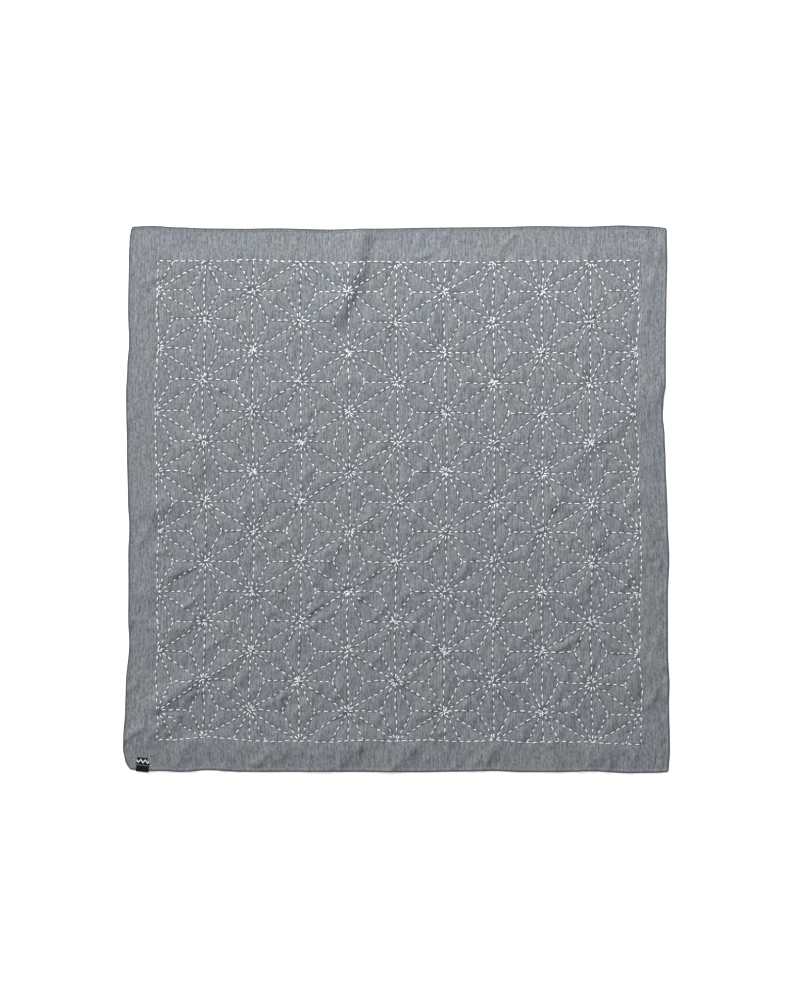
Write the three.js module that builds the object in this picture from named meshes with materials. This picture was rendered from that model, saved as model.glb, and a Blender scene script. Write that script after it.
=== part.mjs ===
// A square chambray cloth with a narrow hem, laid out face up and worked all over with a
// hemp-leaf net of white running stitches, and a small folded label sewn over its lower hem.
// Lengths are in millimetres. The cloth lies on z = 0, x runs to the right of its face and
// y to its top edge. Flat places (u, v) are those of the cloth before it was laid down,
// counted from its middle.

import * as THREE from 'three';
import { mergeVertices } from 'three/addons/utils/BufferGeometryUtils.js';

// Cloth and hem
const clothWidth = 560;
const clothLength = 566;
const clothThickness = 1.2;
const hemWidth = 4.6;
const hemStep = 0.8;
const hemRise = 0.6;
const hemRound = 0.9;
const marginMiddle = 16;
const edgeSteps = 28;
const weldDistance = 1e-4;

// Stitched net: stars stand in columns, and each column is half a star row off the next
const columns = 10;
const halfRows = 16;
const columnPitch = 50;
const halfRowPitch = 31.1;
const frameLeft = -249.3;
const frameTop = 246.3;
const threadRise = 0.7;
const threadHalfWidth = 1.3;

// Label: a woven tape folded over the hem
const labelWidth = 13.2;
const labelReach = 14;
const labelBackReach = 9;
const labelThickness = 0.6;
const labelGap = 0.3;
const labelMiddle = -266;
const labelLift = 1.0;
const labelLiftNear = 44;
const labelLiftFar = 90;

// How far each side stands out from the straight, at places along it
const sides = {
  left: [
    { at: -283, out: -1.5 },
    { at: -273, out: 2.4 },
    { at: -262, out: 4.6 },
    { at: -248, out: 4.2 },
    { at: -222, out: 2.5 },
    { at: -196, out: 1.8 },
    { at: -150, out: -1.8 },
    { at: -122, out: -0.7 },
    { at: -98, out: -1.0 },
    { at: -58, out: -0.8 },
    { at: -30, out: -1.9 },
    { at: 0, out: -0.4 },
    { at: 50, out: 0.6 },
    { at: 108, out: 1.5 },
    { at: 137, out: 0.2 },
    { at: 162, out: -1.6 },
    { at: 195, out: -0.6 },
    { at: 249, out: -1.4 },
    { at: 270, out: -2.2 },
    { at: 283, out: -4.2 },
  ],
  right: [
    { at: -283, out: 1.5 },
    { at: -260, out: 2.9 },
    { at: -212, out: 1.9 },
    { at: -190, out: 2.3 },
    { at: -160, out: 0.9 },
    { at: -100, out: 0.8 },
    { at: -62, out: 2.2 },
    { at: -20, out: 0.5 },
    { at: 40, out: -1.6 },
    { at: 65, out: -2.6 },
    { at: 88, out: -4.5 },
    { at: 102, out: -4.0 },
    { at: 120, out: -1.6 },
    { at: 162, out: -1.4 },
    { at: 200, out: -0.8 },
    { at: 249, out: 0.2 },
    { at: 283, out: -0.4 },
  ],
  top: [
    { at: -280, out: -0.3 },
    { at: -258, out: 0.5 },
    { at: -230, out: -1.0 },
    { at: -200, out: -2.1 },
    { at: -160, out: -2.4 },
    { at: -130, out: -2.0 },
    { at: -65, out: -3.3 },
    { at: -10, out: -2.2 },
    { at: 30, out: -1.3 },
    { at: 100, out: -0.8 },
    { at: 145, out: 0.3 },
    { at: 195, out: -0.3 },
    { at: 232, out: 1.0 },
    { at: 262, out: 0 },
    { at: 280, out: -1.5 },
  ],
  bottom: [
    { at: -280, out: -2.4 },
    { at: -260, out: -0.4 },
    { at: -247, out: -0.8 },
    { at: -224, out: 0.3 },
    { at: -198, out: -1.6 },
    { at: -162, out: 0.2 },
    { at: -60, out: 0.2 },
    { at: 20, out: 0.6 },
    { at: 60, out: 0 },
    { at: 100, out: -0.7 },
    { at: 128, out: 0.5 },
    { at: 170, out: 0.4 },
    { at: 200, out: -0.4 },
    { at: 238, out: 1.5 },
    { at: 262, out: 1.3 },
    { at: 280, out: 0.6 },
  ],
};

// Where the net is drawn out of line by its own stitches
const pulls = [
  { u: -222, v: 165, dx: 0, dy: 3.2, reach: 62 },
  { u: -205, v: 95, dx: -1.4, dy: 1, reach: 45 },
  { u: -145, v: -200, dx: -3.2, dy: 0.5, reach: 60 },
  { u: -200, v: -245, dx: 0, dy: 3.5, reach: 45 },
  { u: -15, v: -120, dx: -2, dy: 0, reach: 62 },
  { u: 40, v: 185, dx: -2, dy: -0.5, reach: 55 },
  { u: 165, v: 95, dx: -0.2, dy: -2, reach: 80 },
  { u: 245, v: 125, dx: -1.6, dy: 0, reach: 45 },
  { u: 235, v: -55, dx: 1, dy: -1.2, reach: 60 },
  { u: 245, v: -205, dx: 0.8, dy: -3.6, reach: 60 },
  { u: 60, v: -195, dx: -1, dy: 0, reach: 45 },
  { u: -70, v: 205, dx: -1.4, dy: 1.3, reach: 90 },
  { u: -175, v: 190, dx: -1, dy: 1.4, reach: 55 },
  { u: 95, v: 80, dx: 1.3, dy: -0.6, reach: 85 },
  { u: 200, v: 100, dx: 1.2, dy: 0, reach: 60 },
  { u: 20, v: -175, dx: -1.8, dy: -0.2, reach: 120 },
  { u: 175, v: -150, dx: -1.1, dy: -0.4, reach: 75 },
  { u: -225, v: -225, dx: 3.2, dy: -0.8, reach: 34 },
  { u: -150, v: -140, dx: -1.2, dy: 0.2, reach: 60 },
  { u: 45, v: 200, dx: -0.9, dy: 0, reach: 60 },
  { u: 0, v: -250, dx: 0, dy: 1.6, reach: 45 },
  { u: 150, v: -20, dx: 0, dy: -0.8, reach: 110 },
  { u: -150, v: 250, dx: 0, dy: 1.8, reach: 55 },
  { u: -252, v: -250, dx: 2.5, dy: 0, reach: 26 },
];
const pullFade = 32;

// Main folds: each is a soft ridge over a straight line on the flat cloth. Its flanks reach
// foldReach widths out, and foldLean more to its upper left and less to its lower right.
const foldReach = 1.3;
const foldLean = 0.3;
const folds = [
  { name: 'top crease', fromU: -46, fromV: 274, toU: -50, toV: 222, width: 22, height: 4.6 },
  { name: 'top crease foot', fromU: -50, fromV: 222, toU: -66, toV: 186, width: 23, height: 3.8 },
  { name: 'top stitch fold', fromU: -16, fromV: 250, toU: -18, toV: 165, width: 18, height: 1.4 },
  { name: 'top right fold', fromU: 30, fromV: 235, toU: 34, toV: 170, width: 18, height: 1.2 },
  { name: 'upper left fold', fromU: -122, fromV: 113, toU: -148, toV: 87, width: 20, height: 1.4 },
  { name: 'left upright fold', fromU: -209, fromV: 46, toU: -211, toV: 16, width: 20, height: 2.2 },
  { name: 'left edge fold', fromU: -234, fromV: -3, toU: -251, toV: -11, width: 20, height: 1.5 },
  { name: 'left middle fold', fromU: -145, fromV: 2, toU: -176, toV: -40, width: 20, height: 1 },
  { name: 'left slant fold', fromU: -264, fromV: -98, toU: -228, toV: -66, width: 22, height: 1.5 },
  { name: 'left lower fold', fromU: -246, fromV: -146, toU: -222, toV: -124, width: 20, height: 1.6 },
  { name: 'lower left ridge', fromU: -212, fromV: -194, toU: -244, toV: -218, width: 20, height: 3.4 },
  { name: 'lower left corner fold', fromU: -254, fromV: -244, toU: -244, toV: -226, width: 21, height: 2.4 },
  { name: 'middle fold', fromU: -64, fromV: -49, toU: -87, toV: -81, width: 19, height: 1.1 },
  { name: 'middle low fold', fromU: -126, fromV: -81, toU: -161, toV: -105, width: 19, height: 1.2 },
  { name: 'right notch fold', fromU: 284, fromV: 122, toU: 240, toV: 90, width: 28, height: 2.4 },
  { name: 'right slant fold', fromU: 232, fromV: 82, toU: 190, toV: 46, width: 20, height: 1.2 },
  { name: 'right slant foot', fromU: 176, fromV: 26, toU: 158, toV: -4, width: 19, height: 1.2 },
  { name: 'right cross fold', fromU: 196, fromV: -12, toU: 208, toV: -40, width: 18, height: 1.4 },
  { name: 'right edge fold', fromU: 236, fromV: -66, toU: 254, toV: -42, width: 18, height: 1.5 },
  { name: 'right inner fold', fromU: 126, fromV: -46, toU: 136, toV: -24, width: 18, height: 1.4 },
  { name: 'right low fold', fromU: 192, fromV: -100, toU: 206, toV: -78, width: 18, height: 1.4 },
  { name: 'lower upright fold', fromU: 101, fromV: -155, toU: 114, toV: -198, width: 18, height: 1.5 },
  { name: 'lower right fold', fromU: 232, fromV: -196, toU: 262, toV: -172, width: 20, height: 1.6 },
  { name: 'hem ripple 1', fromU: -138, fromV: -290, toU: -126, toV: -264, width: 17, height: 1.1 },
  { name: 'hem ripple 2', fromU: -80, fromV: -290, toU: -54, toV: -254, width: 19, height: 2.1 },
  { name: 'hem ripple 3', fromU: -8, fromV: -290, toU: 4, toV: -262, width: 17, height: 1.2 },
  { name: 'hem ripple 4', fromU: 78, fromV: -290, toU: 94, toV: -258, width: 20, height: 1.4 },
  { name: 'hem ripple 5', fromU: 160, fromV: -290, toU: 174, toV: -260, width: 17, height: 1.2 },
  { name: 'hem ripple 6', fromU: 200, fromV: -290, toU: 216, toV: -262, width: 19, height: 1.4 },
];

// Height of each skin of the cloth over its underside
const levels = {
  under: 0,
  edge: (clothThickness + hemRise) / 2,
  face: clothThickness,
  thread: clothThickness + threadRise,
  hem: clothThickness + hemRise,
};

const materials = {
  chambray: new THREE.MeshStandardMaterial({ color: 0x7f8389, roughness: 0.9, metalness: 0 }),
  labelTape: new THREE.MeshStandardMaterial({ color: 0x1b1b1f, roughness: 0.8, metalness: 0 }),
};

// A smooth value between the rows of a side's table
function outAt(rows, place) {
  const last = rows.length - 1;
  if (place <= rows[0].at) return rows[0].out;
  if (place >= rows[last].at) return rows[last].out;
  const next = rows.findIndex((row) => row.at > place);
  const before = rows[next - 1];
  const after = rows[next];
  const share = (place - before.at) / (after.at - before.at);
  return THREE.MathUtils.lerp(before.out, after.out, THREE.MathUtils.smoothstep(share, 0, 1));
}

// Where a flat place of the cloth lies on the surface, with its uneven sides and its pulled net
function lay(u, v) {
  const right = (u + clothWidth / 2) / clothWidth;
  const up = (v + clothLength / 2) / clothLength;
  let x = u - outAt(sides.left, v) * (1 - right) ** 3 + outAt(sides.right, v) * right ** 3;
  let y = v - outAt(sides.bottom, u) * (1 - up) ** 3 + outAt(sides.top, u) * up ** 3;
  const fromEdge = Math.min(clothWidth / 2 - Math.abs(u), clothLength / 2 - Math.abs(v));
  const hold = THREE.MathUtils.smoothstep(fromEdge, 0, pullFade);
  for (const pull of pulls) {
    const away = Math.hypot(u - pull.u, v - pull.v) / pull.reach;
    const share = hold * Math.exp(-away * away);
    x += pull.dx * share;
    y += pull.dy * share;
  }
  return [x, y];
}

// How far the cloth's underside is lifted from the surface at a flat place
function liftAt(u, v) {
  const nearLabel = Math.hypot(u - labelMiddle, v + clothLength / 2);
  let lift = labelLift * (1 - THREE.MathUtils.smoothstep(nearLabel, labelLiftNear, labelLiftFar));
  for (const fold of folds) {
    const alongU = fold.toU - fold.fromU;
    const alongV = fold.toV - fold.fromV;
    const along = (u - fold.fromU) * alongU + (v - fold.fromV) * alongV;
    const share = THREE.MathUtils.clamp(along / (alongU ** 2 + alongV ** 2), 0, 1);
    const offU = u - fold.fromU - share * alongU;
    const offV = v - fold.fromV - share * alongV;
    const off = Math.hypot(offU, offV);
    const upperLeft = off > 0 ? (offV - offU) / (Math.SQRT2 * off) : 0;
    const away = off / (fold.width * (foldReach + foldLean * upperLeft));
    if (away < 1) lift += fold.height * (1 - away ** 2) ** 2;
  }
  return lift;
}

function placed([u, v], level) {
  const [x, y] = lay(u, v);
  return new THREE.Vector3(x, y, liftAt(u, v) + level);
}

function between(a, b, share) {
  return [a[0] + (b[0] - a[0]) * share, a[1] + (b[1] - a[1]) * share];
}

function distance(a, b) {
  return Math.hypot(b[0] - a[0], b[1] - a[1]);
}

// Flat place of a net point: whole columns, and rows counted in half star rows from the top
function netPoint([column, row]) {
  return [frameLeft + column * columnPitch, frameTop - row * halfRowPitch];
}

// Each triangle of three stars is cut by its three spokes into cells, clipped at the frame
function netCells() {
  const cells = [];
  for (let column = 0; column < columns; column += 1) {
    for (let row = -1; row < halfRows; row += 1) {
      const starsAtLeft = (column + row + 2) % 2 === 1;
      const base = starsAtLeft ? column : column + 1;
      const tip = starsAtLeft ? column + 1 : column;
      const stars = [[base, row], [base, row + 2], [tip, row + 1]];
      const middle = [(2 * base + tip) / 3, row + 1];
      stars.forEach((star, index) => cells.push([star, stars[(index + 1) % 3], middle]));
    }
  }
  return cells.map(clippedCell).filter((cell) => cell !== null);
}

function clippedCell([from, to, middle]) {
  const inFrame = ([, row]) => row >= 0 && row <= halfRows;
  if (inFrame(from) && inFrame(to)) return [from, to, middle];
  if (from[0] !== to[0]) return null;
  const ends = [from, to].map(([column, row]) => [column, THREE.MathUtils.clamp(row, 0, halfRows)]);
  return [...ends, middle];
}

// A cell has a raised rim of stitching round a sunk panel on the face, and is plain underneath
function addCell(corners, cell) {
  let [a, b, c] = cell.map(netPoint);
  const twiceArea = (b[0] - a[0]) * (c[1] - a[1]) - (b[1] - a[1]) * (c[0] - a[0]);
  if (twiceArea < 0) [a, b] = [b, a];
  const lengths = [distance(b, c), distance(c, a), distance(a, b)];
  const around = lengths[0] + lengths[1] + lengths[2];
  const inRadius = Math.abs(twiceArea) / around;
  const heart = [0, 1].map((i) => (lengths[0] * a[i] + lengths[1] * b[i] + lengths[2] * c[i]) / around);
  const rim = [a, between(a, b, 0.5), b, between(b, c, 0.5), c, between(c, a, 0.5)];
  const panel = rim.map((point) => between(point, heart, threadHalfWidth / inRadius));
  rim.forEach((point, index) => {
    const next = (index + 1) % rim.length;
    const start = placed(point, levels.thread);
    const innerEnd = placed(panel[next], levels.face);
    corners.push(start, placed(rim[next], levels.thread), innerEnd);
    corners.push(start, innerEnd, placed(panel[index], levels.face));
  });
  for (const [i, j, k] of [[0, 1, 5], [1, 2, 3], [3, 4, 5], [1, 3, 5]]) {
    corners.push(placed(panel[i], levels.face), placed(panel[j], levels.face), placed(panel[k], levels.face));
    corners.push(placed(rim[i], levels.under), placed(rim[k], levels.under), placed(rim[j], levels.under));
  }
}

// The stitched frame as four sides, counter-clockwise from the bottom left, with every net point on it
function frameRing() {
  const stations = [];
  for (let column = 0; column < columns; column += 1) {
    const spoke = column % 2 === 1 ? 2 / 3 : 1 / 3;
    stations.push(column, column + spoke / 2, column + spoke, column + (1 + spoke) / 2);
  }
  stations.push(columns);
  const rows = [0, 0.5];
  for (let row = 1; row < halfRows; row += 1) rows.push(row);
  rows.push(halfRows - 0.5, halfRows);
  return [
    stations.map((column) => netPoint([column, halfRows])),
    rows.map((row) => netPoint([columns, halfRows - row])),
    stations.map((column) => netPoint([columns - column, 0])),
    rows.map((row) => netPoint([0, row])),
  ];
}

function widenedRing(ring, by) {
  const halfWidth = columns * columnPitch / 2;
  const halfLength = halfRows * halfRowPitch / 2;
  const [middleU, middleV] = netPoint([columns / 2, halfRows / 2]);
  const widened = ([u, v]) => [
    middleU + (u - middleU) * (1 + by / halfWidth),
    middleV + (v - middleV) * (1 + by / halfLength),
  ];
  return ring.map((side) => side.map(widened));
}

// A ring of the cloth's own outline, a given way in from its edge
function edgeRing(inset) {
  const u = clothWidth / 2 - inset;
  const v = clothLength / 2 - inset;
  const ends = [[-u, -v], [u, -v], [u, v], [-u, v]];
  return ends.map((end, index) => {
    const next = ends[(index + 1) % ends.length];
    return Array.from({ length: edgeSteps + 1 }, (_, step) => between(end, next, step / edgeSteps));
  });
}

// Fills the band between two rings, side by side, whatever number of points each has
function addBand(corners, inner, outer) {
  inner.ring.forEach((innerSide, index) => {
    const outerSide = outer.ring[index];
    const share = (side, step) => distance(side[0], side[step]) / distance(side[0], side[side.length - 1]);
    let i = 0;
    let j = 0;
    while (i < innerSide.length - 1 || j < outerSide.length - 1) {
      const innerNext = i < innerSide.length - 1 ? share(innerSide, i + 1) : Infinity;
      const outerNext = j < outerSide.length - 1 ? share(outerSide, j + 1) : Infinity;
      const start = placed(innerSide[i], inner.level);
      const side = placed(outerSide[j], outer.level);
      if (innerNext < outerNext) {
        i += 1;
        corners.push(start, side, placed(innerSide[i], inner.level));
      } else {
        j += 1;
        corners.push(start, side, placed(outerSide[j], outer.level));
      }
    }
  });
}

function makeCloth() {
  const corners = [];
  netCells().forEach((cell) => addCell(corners, cell));
  const frame = frameRing();
  const rings = [
    { ring: frame, level: levels.thread },
    { ring: widenedRing(frame, threadHalfWidth), level: levels.face },
    { ring: edgeRing(marginMiddle), level: levels.face },
    { ring: edgeRing(hemWidth + hemStep), level: levels.face },
    { ring: edgeRing(hemWidth), level: levels.hem },
    { ring: edgeRing(hemRound), level: levels.hem },
    { ring: edgeRing(0), level: levels.edge },
    { ring: edgeRing(hemRound), level: levels.under },
    { ring: edgeRing(marginMiddle), level: levels.under },
    { ring: frame, level: levels.under },
  ];
  for (let index = 1; index < rings.length; index += 1) addBand(corners, rings[index - 1], rings[index]);
  const geometry = mergeVertices(new THREE.BufferGeometry().setFromPoints(corners), weldDistance);
  geometry.computeVertexNormals();
  const mesh = new THREE.Mesh(geometry, materials.chambray);
  mesh.name = 'cloth';
  return mesh;
}

// The tape's section: a front leaf over the hem, a round nose past the edge and a shorter back leaf
function makeLabel() {
  const back = labelLift - labelGap;
  const front = labelLift + levels.hem + labelGap;
  const section = new THREE.Shape();
  section.moveTo(labelReach, front);
  section.lineTo(0, front);
  section.lineTo(-labelGap, front - labelGap);
  section.lineTo(-labelGap, back + labelGap);
  section.lineTo(0, back);
  section.lineTo(labelBackReach, back);
  section.lineTo(labelBackReach, back - labelThickness);
  section.lineTo(0, back - labelThickness);
  section.lineTo(-labelGap - labelThickness, back);
  section.lineTo(-labelGap - labelThickness, front);
  section.lineTo(0, front + labelThickness);
  section.lineTo(labelReach, front + labelThickness);
  section.closePath();
  const geometry = new THREE.ExtrudeGeometry(section, { depth: labelWidth, bevelEnabled: false });
  geometry.translate(0, 0, -labelWidth / 2);
  const inward = new THREE.Vector3(0, 1, 0);
  const upward = new THREE.Vector3(0, 0, 1);
  geometry.applyMatrix4(new THREE.Matrix4().makeBasis(inward, upward, new THREE.Vector3(1, 0, 0)));

  const mesh = new THREE.Mesh(geometry, materials.labelTape);
  const edgeV = -clothLength / 2;
  const [startX, startY] = lay(labelMiddle - labelWidth / 2, edgeV);
  const [endX, endY] = lay(labelMiddle + labelWidth / 2, edgeV);
  const [middleX, middleY] = lay(labelMiddle, edgeV);
  mesh.rotation.z = Math.atan2(endY - startY, endX - startX);
  mesh.position.set(middleX, Math.min(middleY, (startY + endY) / 2), 0);
  mesh.name = 'label';
  return mesh;
}

// The whole is set down so that the middle of its box stands over the origin
const laidCloth = new THREE.Group();
laidCloth.add(makeCloth(), makeLabel());
const box = new THREE.Box3().setFromObject(laidCloth);
const middle = box.getCenter(new THREE.Vector3());
laidCloth.position.set(-middle.x, -middle.y, 0);

export default laidCloth;
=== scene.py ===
# An embroidered cloth laid out face up: blue-grey chambray with a narrow hem, a hemp-leaf net of
# white running stitches and a small folded label over the lower hem.
# Tables and settings are in millimetres of the flat cloth, counted from its middle: u to the right
# of the face, v to its top edge. Blender's objects are in metres.
import bpy
import math
import numpy as np
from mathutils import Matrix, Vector


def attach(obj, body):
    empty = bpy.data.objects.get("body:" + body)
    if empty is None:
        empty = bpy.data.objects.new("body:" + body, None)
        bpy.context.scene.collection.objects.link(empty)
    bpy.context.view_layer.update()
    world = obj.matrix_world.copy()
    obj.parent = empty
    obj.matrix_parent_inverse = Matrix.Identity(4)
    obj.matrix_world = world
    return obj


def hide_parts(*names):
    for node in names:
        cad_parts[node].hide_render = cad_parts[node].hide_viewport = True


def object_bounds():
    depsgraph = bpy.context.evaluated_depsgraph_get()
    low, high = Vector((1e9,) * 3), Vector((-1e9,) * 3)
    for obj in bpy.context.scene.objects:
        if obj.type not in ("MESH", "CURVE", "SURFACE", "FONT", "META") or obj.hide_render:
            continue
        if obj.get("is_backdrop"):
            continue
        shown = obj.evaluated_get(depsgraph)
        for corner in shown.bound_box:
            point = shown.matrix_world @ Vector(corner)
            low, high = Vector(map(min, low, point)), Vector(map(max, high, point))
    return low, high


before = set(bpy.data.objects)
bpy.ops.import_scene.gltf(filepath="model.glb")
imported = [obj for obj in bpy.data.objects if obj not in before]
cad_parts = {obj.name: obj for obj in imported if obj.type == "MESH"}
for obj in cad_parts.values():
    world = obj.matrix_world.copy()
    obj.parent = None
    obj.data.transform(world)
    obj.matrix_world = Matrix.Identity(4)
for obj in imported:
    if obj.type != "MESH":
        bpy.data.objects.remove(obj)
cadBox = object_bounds()
print("frame loaded:", sorted(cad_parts))

metre = 0.001  # one millimetre in Blender's metres
chance = np.random.default_rng(3610)

lowest = 0.02  # nothing comes nearer to the surface than this

cloth = {
    "width": 560,
    "length": 566,
    "thickness": 0.5,
    "stitchedLift": 0.55,  # the stitches on the back hold the cloth this far off the surface
    "cornerRound": 3,
    "faceStep": 2.15,
    "underStep": 5,
    "fieldStep": 1.0,  # spacing of the worked-out heights
    "fieldPad": 12,
}
halfWidth = cloth["width"] / 2
halfLength = cloth["length"] / 2

hem = {
    "width": 4.6,
    "step": 2.4,
    "thickness": 0.95,
    "round": 0.6,
    "sewingLine": 3.7,
    "groove": 0.07,
    "grooveHalf": 0.4,
    "cornerRise": 0.45,  # where two hems cross
    "ripple": 0.07,
    "rippleStep": 1.3,
    "rippleBends": (17, 13),
    "rippleFade": 1.5,
    "faceStops": [0, 0.12, 0.4, 0.85, 1.5, 2.3, 3.0, 3.4, 3.7, 4.0, 4.6, 5.6, 7.0],
    "underStops": [0.12, 0.45, 1.2, 3.0, 6.0],
}

net = {"columns": 10, "halfRows": 16, "columnPitch": 50, "halfRowPitch": 31.1, "left": -249.3, "top": 246.3}
netHalfWidth = net["columns"] * net["columnPitch"] / 2
netHalfLength = net["halfRows"] * net["halfRowPitch"] / 2
netMiddleU = net["left"] + netHalfWidth
netMiddleV = net["top"] - netHalfLength

# (place along the side, how far the side stands out there)
sides = {
    "left": [
        (-283, -1.5), (-273, 2.4), (-262, 4.6), (-248, 4.2), (-222, 2.5), (-196, 1.8), (-150, -1.8),
        (-122, -0.7), (-98, -1.0), (-58, -0.8), (-30, -1.9), (0, -0.4), (50, 0.6), (108, 1.5),
        (137, 0.2), (162, -1.6), (195, -0.6), (249, -1.4), (270, -2.2), (283, -4.2),
    ],
    "right": [
        (-283, 1.5), (-260, 2.9), (-212, 1.9), (-190, 2.3), (-160, 0.9), (-100, 0.8), (-62, 2.2),
        (-20, 0.5), (40, -1.6), (65, -2.6), (88, -4.5), (102, -4.0), (120, -1.6), (162, -1.4),
        (200, -0.8), (249, 0.2), (283, -0.4),
    ],
    "top": [
        (-280, -0.3), (-258, 0.5), (-230, -1.0), (-200, -2.1), (-160, -2.4), (-130, -2.0), (-65, -3.3),
        (-10, -2.2), (30, -1.3), (100, -0.8), (145, 0.3), (195, -0.3), (232, 1.0), (262, 0),
        (280, -1.5),
    ],
    "bottom": [
        (-280, -2.4), (-260, -0.4), (-247, -0.8), (-224, 0.3), (-198, -1.6), (-162, 0.2), (-60, 0.2),
        (20, 0.6), (60, 0), (100, -0.7), (128, 0.5), (170, 0.4), (200, -0.4), (238, 1.5), (262, 1.3),
        (280, 0.6),
    ],
}

# Where the net is drawn out of line: (u, v, pull along u, pull along v, reach)
pulls = [
    (-222, 165, 0, 3.2, 62), (-205, 95, -1.4, 1, 45), (-145, -200, -3.2, 0.5, 60),
    (-200, -245, 0, 3.5, 45), (-15, -120, -2, 0, 62), (40, 185, -2, -0.5, 55),
    (165, 95, -0.2, -2, 80), (245, 125, -1.6, 0, 45), (235, -55, 1, -1.2, 60),
    (245, -205, 0.8, -3.6, 60), (60, -195, -1, 0, 45), (-70, 205, -1.4, 1.3, 90),
    (-175, 190, -1.0, 1.4, 55), (95, 80, 1.3, -0.6, 85), (200, 100, 1.2, 0, 60),
    (20, -175, -1.8, -0.2, 120), (175, -150, -1.1, -0.4, 75), (-225, -225, 3.2, -0.8, 34),
    (-150, -140, -1.2, 0.2, 60), (45, 200, -0.9, 0, 60), (0, -250, 0, 1.6, 45), (150, -20, 0, -0.8, 110),
    (-150, 250, 0, 1.8, 55), (-252, -250, 2.5, 0, 26),
]
pullFade = 32

# Main folds, about as in the solid: (from u, from v, to u, to v, half width, height)
folds = [
    (-42, 274, -46, 226, 22, 5.6), (-47, 226, -61, 197, 18, 4.4), (-16, 250, -18, 165, 18, 1.4),
    (30, 235, 34, 170, 18, 1.2), (-122, 113, -148, 87, 20, 1.4), (-209, 56, -211, 24, 20, 2.3),
    (-234, -3, -251, -11, 19, 1.5), (-145, 2, -176, -40, 20, 1), (-264, -98, -228, -66, 24, 0.8),
    (-246, -146, -222, -124, 20, 1.3), (-210, -192, -248, -219, 14, 3.3), (-254, -244, -244, -226, 21, 2.6),
    (-64, -49, -87, -81, 18, 0.9), (-126, -81, -161, -105, 18, 1.2), (284, 122, 240, 90, 28, 2.4),
    (232, 82, 190, 46, 20, 1.2), (176, 26, 158, -4, 18, 1.2), (196, -12, 208, -40, 18, 1.4),
    (236, -66, 254, -42, 18, 1.5), (126, -46, 136, -24, 18, 1.4), (192, -100, 206, -78, 18, 1.4),
    (101, -155, 114, -198, 18, 1.5), (232, -196, 262, -172, 20, 1.6), (-138, -290, -126, -264, 16, 1.1),
    (-80, -290, -54, -254, 19, 2.1), (-8, -290, 4, -262, 16, 1.2), (78, -290, 94, -258, 17, 1.4),
    (160, -290, 174, -260, 16, 1.2), (200, -290, 216, -262, 16, 1.4),
]

# Sharper creases: (from u, from v, to u, to v, half width, height)
creases = [
    (-37, 272, -40, 234, 12, 3.0), (-49, 214, -58, 184, 9, 2.0), (-10, 250, -10, 238, 6, 0.8),
    (-12, 190, -11, 155, 7, 1.1), (12, 247, 12, 236, 6, 0.8), (50, 250, 55, 233, 6, 0.9),
    (42, 208, 42, 168, 7, 1.2), (-48, 153, -46, 124, 8, 0.8), (51, 124, 53, 102, 7, 0.8),
    (58, 99, 66, 76, 7, 0.9), (66, 52, 70, 21, 7, 0.8), (100, 119, 101, 98, 7, 0.8),
    (118, 127, 110, 110, 7, 0.8), (-67, 23, -93, 5, 7, 0.9), (26, 28, 5, 12, 7, 0.9),
    (-10, 61, -23, 48, 6, 0.8), (-133, -2, -142, -18, 8, 0.6), (-165, -49, -169, -63, 8, 1.1),
    (-58, -44, -67, -63, 7, 0.6), (-48, -46, -43, -67, 6, 0.8), (-81, -70, -87, -88, 7, 1.0),
    (-26, -72, -30, -84, 7, 0.8), (-1, -55, 1, -95, 6, 0.8), (-113, -82, -119, -94, 7, 0.8),
    (-56, -90, -90, -102, 6, 0.8), (-34, -100, -42, -114, 6, 0.8), (28, -89, 8, -104, 6, 0.8),
    (-128, -101, -134, -115, 6, 0.8), (-222, -134, -238, -146, 8, 1.1), (-185, -129, -190, -144, 7, 0.9),
    (-160, -162, -193, -185, 7, 1.1), (-172, -185, -166, -204, 6, 0.9), (-132, -193, -154, -207, 6, 0.9),
    (-73, -241, -78, -253, 7, 0.9), (240, 84, 231, 74, 9, 1.0), (216, 68, 204, 58, 8, 1.0),
    (194, 48, 186, 38, 7, 0.7), (172, 24, 164, 17, 6, 0.5), (168, 4, 163, -6, 8, 1.2),
    (203, -10, 192, -27, 9, 1.3), (252, 7, 244, -4, 9, 1.6), (139, -31, 139, -58, 8, 1.0),
    (181, -64, 177, -85, 8, 1.0), (210, -37, 203, -51, 9, 1.0), (254, -56, 248, -80, 9, 1.1),
    (180, -122, 184, -150, 8, 0.6), (144, -126, 140, -144, 8, 0.7), (204, -171, 213, -189, 8, 1.0),
    (248, -175, 244, -196, 9, 1.0), (54, -112, 58, -135, 7, 0.9), (84, -144, 78, -157, 7, 0.9),
    (53, -161, 56, -207, 6, 0.8), (108, -154, 119, -183, 6, 1.0), (134, -212, 133, -246, 6, 0.8),
    (4, -5, 11, -33, 6, 0.8), (-34, -250, -58, -272, 11, 1.5), (-208, -254, -219, -268, 8, 0.9),
    (-117, -256, -125, -269, 9, 0.8), (12, -260, 3, -277, 8, 1.0), (103, -256, 95, -271, 9, 0.8),
    (210, -249, 219, -272, 8, 1.0), (40, -203, 38, -222, 7, 1.0), (50, -232, 48, -250, 7, 0.9),
    (-205, 60, -204, 28, 8, 1.4), (-236, -5, -256, -15, 10, 1.8), (-220, -68, -264, -102, 9, 0.5),
    (-212, -190, -249, -217, 8, 1.3),
]
ridgeReach = 1.3  # how far a ridge's foot is from its line, in half widths
ridgeLean = 0.3  # added to that on the upper left, and taken off it on the lower right

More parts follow.
